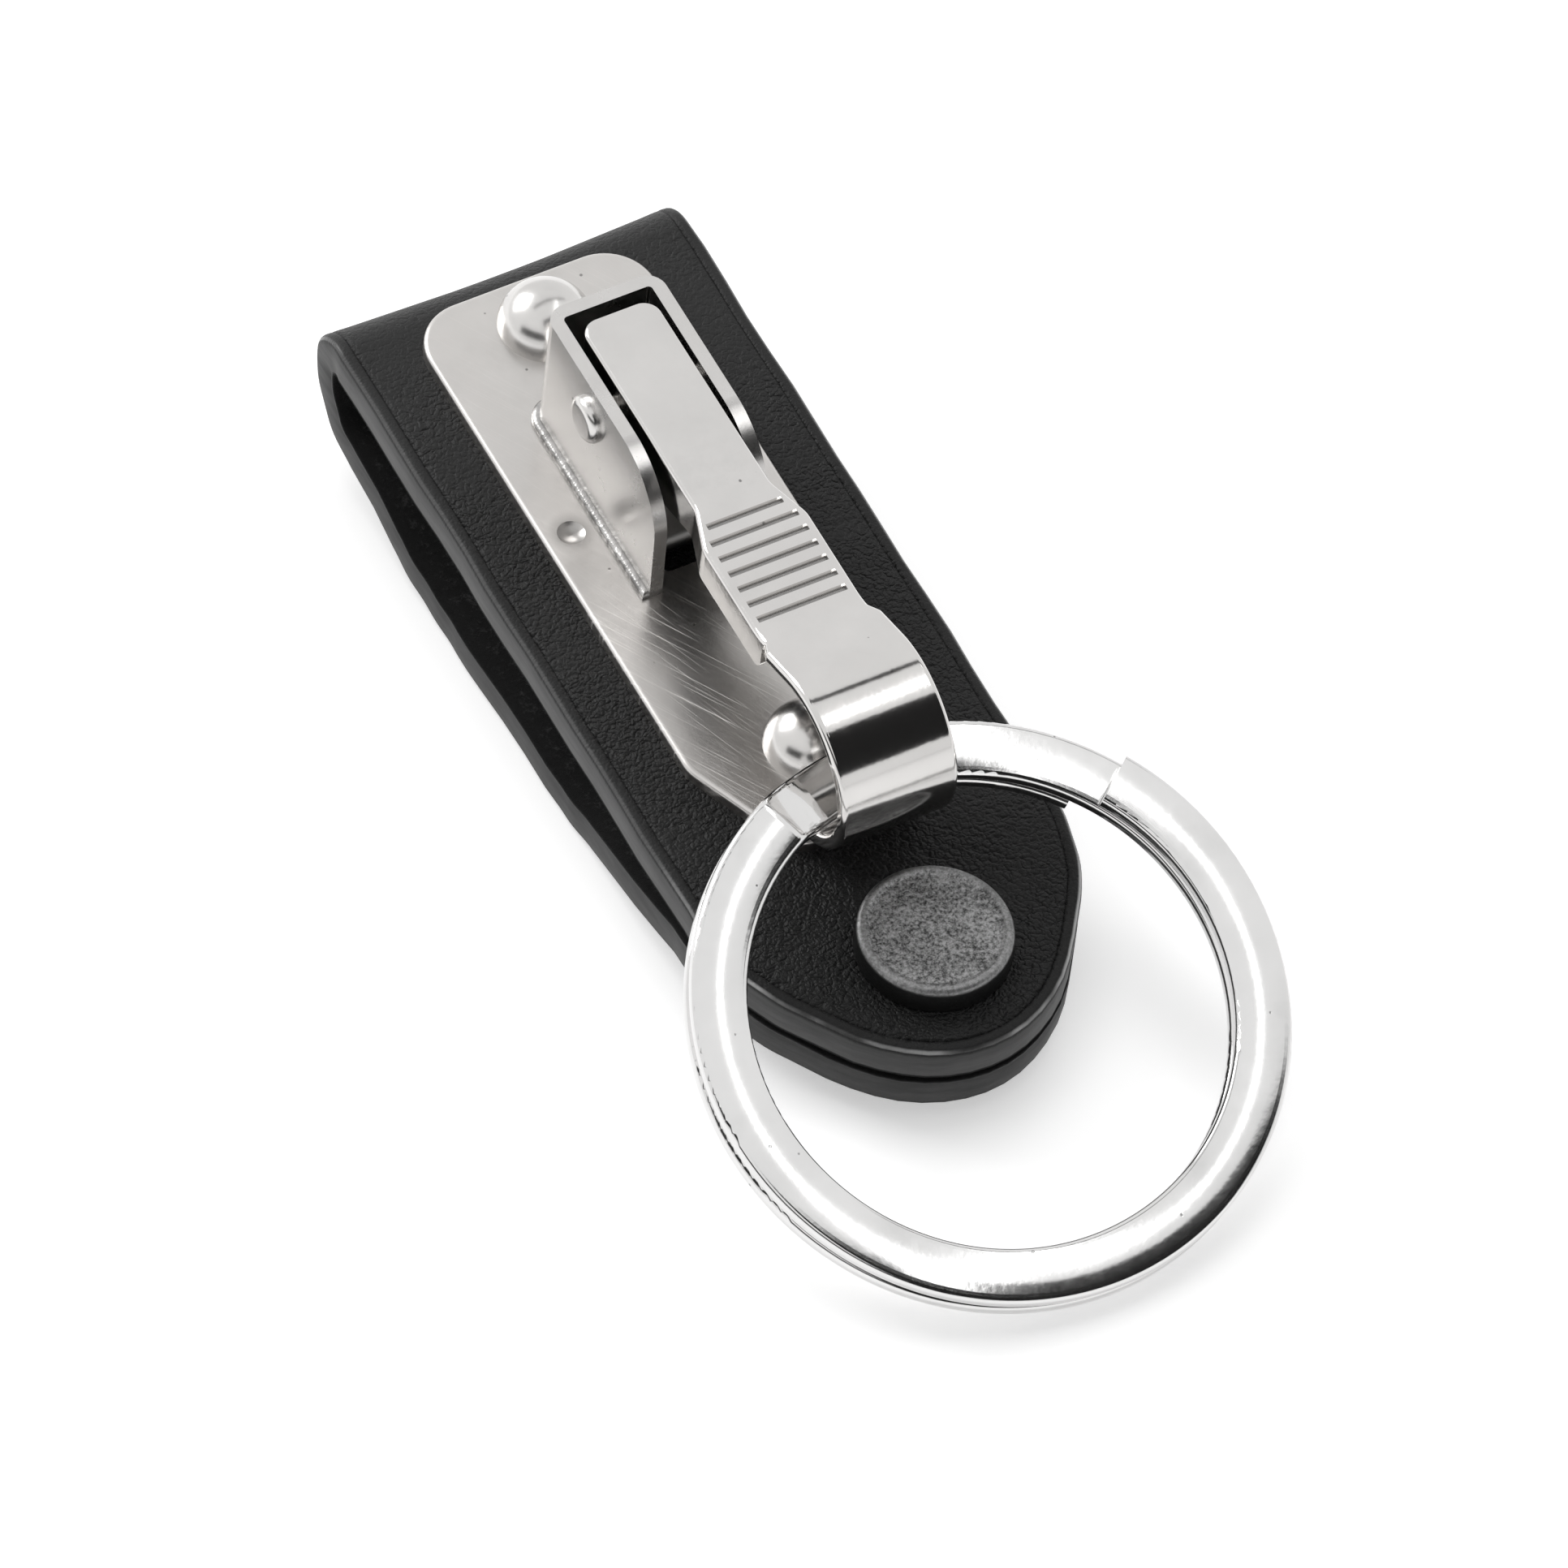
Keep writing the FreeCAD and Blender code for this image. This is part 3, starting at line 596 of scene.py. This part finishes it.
# %% [markdown]
# The loop opens at the fold, so the strap is shown as three pieces of one mesh: the front flap
# moves with the front, the back flap with the back, and the short piece round the fold bends
# between them. They part where the leather is flat, so that no line shows, and each cut is closed
# with a face, so that every piece is a solid of its own.

# %% Three strap pieces
SHARP_ANGLE = math.radians(50)


def smooth_object(mesh, name):
    """An object that is smooth except where faces meet at a sharp angle."""
    made = object_from(mesh, name)
    for polygon in made.data.polygons:
        polygon.use_smooth = True
    made.data.set_sharp_from_angle(angle=SHARP_ANGLE)
    return made


def strap_piece(name, low, high):
    part = pattern.copy()
    along = part.verts.layers.float["length"]
    outside = []
    for face in part.faces:
        middle = sum(vert[along] for vert in face.verts) / len(face.verts)
        if not low < middle < high:
            outside.append(face)
    bmesh.ops.delete(part, geom=outside, context="FACES")
    bmesh.ops.holes_fill(part, edges=[edge for edge in part.edges if edge.is_boundary])
    bmesh.ops.recalc_face_normals(part, faces=part.faces)
    made = smooth_object(part, name)
    print(name, len(made.data.polygons), "faces")
    return made


front_leather = strap_piece("front_leather", -math.inf, SEAM_FRONT)
fold_leather = strap_piece("fold_leather", SEAM_FRONT, SEAM_BACK)
back_leather = strap_piece("back_leather", SEAM_BACK, math.inf)
pattern.free()


def row_point(y, z):
    """A point of the side view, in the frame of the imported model."""
    return Matrix.Scale(MM, 4) @ seat @ Vector((0, y, z))


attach(front_leather, "front")
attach(back_leather, "back")
# The blend goes straight down inside the fold, from the front flap's inner side.
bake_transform(fold_leather, "front", "back", start=row_point(56.2, -LEATHER), end=row_point(56.2, -5.5))
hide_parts("strap_front")
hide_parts("strap_back")
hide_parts("strap_back")

# %% [markdown]
# The spring under the lever's short end is a strip of hard steel, bent like a hairpin. The lower
# leaf lies in the plate's window and the upper leaf leans on the lever, so it has to give way when
# the lever is lifted. It is made as the strap is: a flat strip, a thickness and a path. Then it is
# blended by height, so that the low points stay on the plate and the top follows the lever.

# %% Leaf spring
LEAF = 0.5
LEAF_WIDTH = 3.0
LEAF_ROWS = 90
# End of the lower leaf, hairpin bend, bend of the upper leaf and its tip.
spring_corners = [(43.8, 0.05, 0.0), (30.5, 0.05, 1.1), (40.0, 6.3, 4.0), (42.6, 10.65, 0.0)]
spring_path = Path(spring_corners)
strip = bmesh.new()
bmesh.ops.create_grid(strip, x_segments=1, y_segments=LEAF_ROWS, size=0.5)
bmesh.ops.translate(strip, vec=(0, 0.5, 0), verts=strip.verts)
bmesh.ops.scale(strip, vec=(LEAF_WIDTH, spring_path.length, 1), verts=strip.verts)
lower_side = bmesh.ops.extrude_face_region(strip, geom=strip.faces[:], use_keep_orig=True)
lower_verts = {item for item in lower_side["geom"] if isinstance(item, bmesh.types.BMVert)}
for vert in strip.verts:
    place, outward = spring_path.at(vert.co.y)
    place = place - outward * (LEAF if vert in lower_verts else 0.0)
    vert.co = (vert.co.x, place.x, place.y)
bmesh.ops.recalc_face_normals(strip, faces=strip.faces)
bmesh.ops.transform(strip, matrix=Matrix.Scale(MM, 4) @ seat, verts=strip.verts)
hairpin_spring = smooth_object(strip, "hairpin_spring")
# The blend goes straight up, from a little over the lower leaf to a little under the tip.
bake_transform(hairpin_spring, "front", "lever", start=row_point(40.0, 1.5), end=row_point(40.0, 10.0))
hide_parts("leaf_spring")
print("hairpin spring", round(spring_path.length, 1), "mm long")

# %% [markdown]
# Leather finish. First come the patterns: soft cells of about 0.3 mm, pushed about by noise, are
# the pebbled grain. Large patches make it livelier here and calmer there. Both lie in the flat UV
# map, so they follow the leather round the fold. The cut edge shows faint layers and the flesh
# side is fuzzy. These two lie in space, because the flat map has no depth.

# %% Leather patterns
PEBBLES_PER_MM = 3.6
GRAIN_HEIGHT = 0.12 * MM
leather = material("black_leather")
flat = leather.node("ShaderNodeUVMap", {"uv_map": "flat"})
millimetres = leather.stretched(flat, (1 / UV_PER_MM,) * 3)
drift_inputs = {"Vector": millimetres, "Scale": 1.6, "Detail": 2.0}
drift = leather.node("ShaderNodeTexNoise", {}, drift_inputs, output="Color")
warped = leather.vectors("MULTIPLY_ADD", drift, (0.7, 0.7, 0.0), millimetres)
pebble = leather.cells(warped, PEBBLES_PER_MM)
fine = leather.noise(millimetres, 7.0, 3.0)
patches = leather.noise(millimetres, 0.16, 3.0)
solid = leather.place()
layers = leather.noise(leather.stretched(solid, (260, 260, 1500)), 1.0, 3.0, 0.55)
fuzz = leather.noise(solid, 1100.0, 8.0, 0.85)
print("leather patterns ready")

# %% [markdown]
# Then the attributes of the mesh tell where each pattern belongs: the distance from the edge, the
# depth under the grain side and the length along the strap. The border outside the pressed line
# is smooth, and the pressed line itself is painted darker as shade. The rim is burnished, and at
# the tip a light line is painted along it as a highlight. Where the leather is stretched round
# the fold it is smoother, and a painted sheen makes it a little paler.

# %% Leather finish
from_edge, depth, length = [
    leather.node("ShaderNodeAttribute", {"attribute_name": name}, output="Fac")
    for name in ("from_edge", "depth", "length")
]
inside = from_edge.step(0.5, 1.3)
grain_side = 1 - depth.step(0.1, 0.2)
# The rim band: its lower roughness and its coat are the real burnish; its light tone below is a painted
# highlight.
rim_wear_and_highlight = from_edge.step(0.04, 0.1) * (1 - from_edge.step(0.14, 0.3)) * grain_side
flesh_side = depth.step(0.88, 0.97)
cut_edge = depth.step(0.12, 0.24) * (1 - flesh_side)
flecks = fuzz.step(0.5, 0.66) * from_edge.step(0.3, 1.0)
crease_shade = 1 - (from_edge - CREASE).math("ABSOLUTE").step(0.04, 0.2)
near_fold = length.step(36, 57) * (1 - length.step(70, 90))
near_tip = 1 - length.step(0, 16)
lively = (0.45 + 0.55 * patches.step(0.35, 0.6)) * (1 - 0.65 * near_fold)
grain = (1 - pebble * pebble * 1.8) * (inside * 0.85 + 0.15) * lively + fine * 0.35
height = grain * (1 - flesh_side) * (1 - cut_edge)
height = height + layers * cut_edge * 0.3 + fuzz * flesh_side * 3.0
tone = leather.mix(patches, grey(0.004), grey(0.009))
# Painted sheen: the leather round the fold is made a little paler, as light grazing it would.
tone = leather.mix(near_fold * 0.6, tone, grey(0.022))
# Painted highlight: a light line along the rim, mostly at the tip, where the rounded edge would catch the
# light.
tone = leather.mix(rim_wear_and_highlight * (0.1 + 0.9 * near_tip * patches.step(0.35, 0.6)), tone, grey(0.42))
# Painted shade: the pressed line is made darker, as shade in the crease.
tone = leather.mix(crease_shade * 0.7, tone, grey(0.002))
tone = leather.mix(cut_edge, tone, leather.mix(layers.step(0.3, 0.7), grey(0.05), grey(0.075)))
tone = leather.mix(flesh_side, tone, leather.mix(flecks, grey(0.002), grey(0.07)))
rough = 0.42 + patches * 0.10 + fine * 0.06
rough = rough - rim_wear_and_highlight * 0.10 + cut_edge * 0.08 + flesh_side * 0.45
leather_finish = leather.finish({
    "Base Color": tone, "Roughness": rough, "Normal": leather.bump(height, GRAIN_HEIGHT, 1.0),
    "Specular IOR Level": 0.26, "Sheen Weight": 0.05, "Sheen Roughness": 0.4,
    "Coat Weight": rim_wear_and_highlight * 0.5, "Coat Roughness": 0.22,
})
for piece in (front_leather, fold_leather, back_leather):
    piece.data.materials.append(leather_finish)
print("leather finished")

# %% [markdown]
# Three pieces of the metal carry marks. The plate has rubbing marks and is painted darker in
# clouds round its dimple, the bracket has a dark brazed seam at its foot, and the floors of the
# lever's grooves are painted dark as shade. Each is drawn through a mask, which is worked out from
# the place alone: 1 where the mark is and 0 elsewhere.

# %% Marks of making and wear, and painted shade
PLATE = 1.0
LEVER_TOP = 11.8
DIMPLE = row_point(36.8, PLATE) + Vector((-6.1, 0, 0)) * MM
GRIP_LOW, GRIP_HIGH = 17.4, 27.3
GRIP_HALF_WIDTH = 3.15 * MM


def rubbing_marks(shader, place):
    """Thin scratches in two directions, mostly on the snap's end of the plate."""
    rubbed = shader.streaks(place, -0.55, 9000, 90).step(0.56, 0.72)
    crossed = shader.streaks(place, -0.38, 12000, 130).step(0.58, 0.74)
    towards_fold = shader.coordinate(place, 1).step(-4 * MM, 3 * MM)
    return (rubbed + crossed * 0.7) * (1 - 0.8 * towards_fold)


def dimple_darkening(shader, place, cloud):
    """Darker clouds painted into the colour round the dimple."""
    near = 1 - shader.away(place, DIMPLE).step(0.5 * MM, 1.8 * MM)
    return near * (0.45 + 0.9 * cloud)


def brazed_foot(shader, place):
    """The lowest half millimetre of the bracket."""
    above = shader.above(place, row_point(0, PLATE))
    return (1 - above.step(0.3 * MM, 0.7 * MM)) * above.step(-0.1 * MM, 0.02 * MM)


def groove_floor(shader, place):
    """The floors of the thumb grooves: just under the lever's top, within its grip."""
    above = shader.above(place, row_point(0, LEVER_TOP))
    sunk = (1 - above.step(-0.27 * MM, -0.16 * MM)) * above.step(-0.34 * MM, -0.3 * MM)
    across = shader.coordinate(place, 0).math("ABSOLUTE")
    along = shader.coordinate(place, 1)
    low, high = [row_point(y, LEVER_TOP).y for y in (GRIP_LOW, GRIP_HIGH)]
    grip = along.step(low, low + 0.1 * MM) * (1 - along.step(high, high + 0.1 * MM))
    return sunk * grip * (1 - across.step(GRIP_HALF_WIDTH, GRIP_HALF_WIDTH + 0.05 * MM))


print("masks ready")

# %% [markdown]
# All the bright metal comes from one function. Clouds, small smudges and a few pits change its
# colour, roughness and level a little. The tone is how much light it gives back, and the roughness
# how blurred its mirror image is: high for the satin plate, low for the polished lever and the
# nickel ring, which mirror the cards sharply.

# %% Steel finishes
STEEL_RELIEF = 0.03 * MM


def steel(name, tone, rough, marks=0.0, warm=0.02, waves=0.7, brazed=False, grooved=False):
    shader = material(name)
    place = shader.place()
    cloud = shader.noise(place, 240.0, 4.0)
    fine = shader.noise(place, 2600.0, 2.0)
    pits = shader.cells(place, 520.0).step(0.035, 0.07)
    smudge = shader.noise(place, 110.0, 5.0, 0.65).step(0.5, 0.75)
    colour = shader.mix(cloud, grey(tone * 0.86, warm), grey(tone * 1.04, warm))
    colour = shader.mix(smudge * 0.35, colour, grey(tone * 0.7, warm))
    colour = shader.mix(pits, grey(tone * 0.4, warm), colour)
    roughness = rough + cloud * 0.08 + fine * 0.04
    height = cloud * waves + fine * 0.12 + pits * 0.3
    if marks:
        thin = rubbing_marks(shader, place)
        # The colour is painted darker in clouds round the dimple.
        painted_dark = dimple_darkening(shader, place, cloud)
        colour = shader.mix(thin * 0.5, colour, grey(0.85, warm))
        colour = shader.mix(painted_dark * 0.7, colour, grey(tone * 0.35, warm))
        roughness = roughness + thin * marks
        height = height + thin * 0.15
    if brazed:
        foot = brazed_foot(shader, place)
        lumps = shader.noise(place, 900.0, 3.0, 0.7)
        dark = foot * (0.45 + 0.55 * lumps.step(0.4, 0.6))
        colour = shader.mix(dark, colour, grey(tone * 0.3, warm))
        height = height + foot * lumps * 5.0
    if grooved:
        # Painted shade: the groove floors are made dark, as shade in the grooves.
        painted_dark = groove_floor(shader, place)
        colour = shader.mix(painted_dark * 0.5, colour, grey(0.10, warm))
        roughness = roughness + painted_dark * 0.4
    return shader.finish({
        "Base Color": colour, "Metallic": 1.0, "Roughness": roughness,
        "Normal": shader.bump(height, STEEL_RELIEF, 0.6),
    })


def clothe(finish, *names):
    """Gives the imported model's own pieces a finish, in the slots they have."""
    for name in names:
        for slot in nodes[name].material_slots:
            slot.material = finish


plate_steel = steel("plate_steel", 0.63, 0.24, marks=0.3, warm=0.03, waves=1.5)
bracket_steel = steel("bracket_steel", 0.66, 0.20, brazed=True)
lever_steel = steel("lever_steel", 0.66, 0.05, grooved=True)
rivet_steel = steel("rivet_steel", 0.68, 0.16)
ring_nickel = steel("ring_nickel", 0.76, 0.06, warm=0.006)
spring_steel = steel("spring_steel", 0.30, 0.30)
clothe(plate_steel, "base_plate")
clothe(bracket_steel, "pivot_frame")
clothe(lever_steel, "clip_lever")
clothe(rivet_steel, "upper_rivet", "lower_rivet", "upper_rivet_cap", "lower_rivet_cap")
clothe(rivet_steel, "hinge_pin")
clothe(ring_nickel, "split_ring")
clothe(spring_steel, "snap_spring")
hairpin_spring.data.materials.append(spring_steel)
print("steel finished")

# %% [markdown]
# The snap is brass with a dark antique plating that has been rubbed back: the high places are
# worn to a speckled grey while the side stays nearly black.

# %% Snap finish
SPECKLE_RELIEF = 0.06 * MM
snap = material("antique_plating")
snap_place = snap.place()
cap_foot = row_point(0, 0)
cap_height = snap.above(snap_place, cap_foot)
cap_reach = snap.away(snap_place, cap_foot)
rubbed_top = cap_height.step(1.45 * MM, 1.85 * MM)
rim_band = cap_reach.step(4.6 * MM, 4.95 * MM)
speckle = snap.noise(snap_place, 4200.0, 4.0, 0.75)
blotch = snap.noise(snap_place, 500.0, 3.0)
worn = (speckle * 1.2 + blotch * 0.3).step(0.52, 1.0) * (1 - rim_band * 0.5) + rim_band * 0.35
plating = snap.mix(worn * rubbed_top, grey(0.035), grey(0.38))
snap_rough = 0.48 - worn * 0.12
snap_finish = snap.finish({
    "Base Color": plating, "Metallic": 0.9, "Roughness": snap_rough,
    "Normal": snap.bump(speckle, SPECKLE_RELIEF, 0.6),
})
clothe(snap_finish, "snap_cap", "snap_socket", "snap_stud", "snap_post")
print("snap finished")
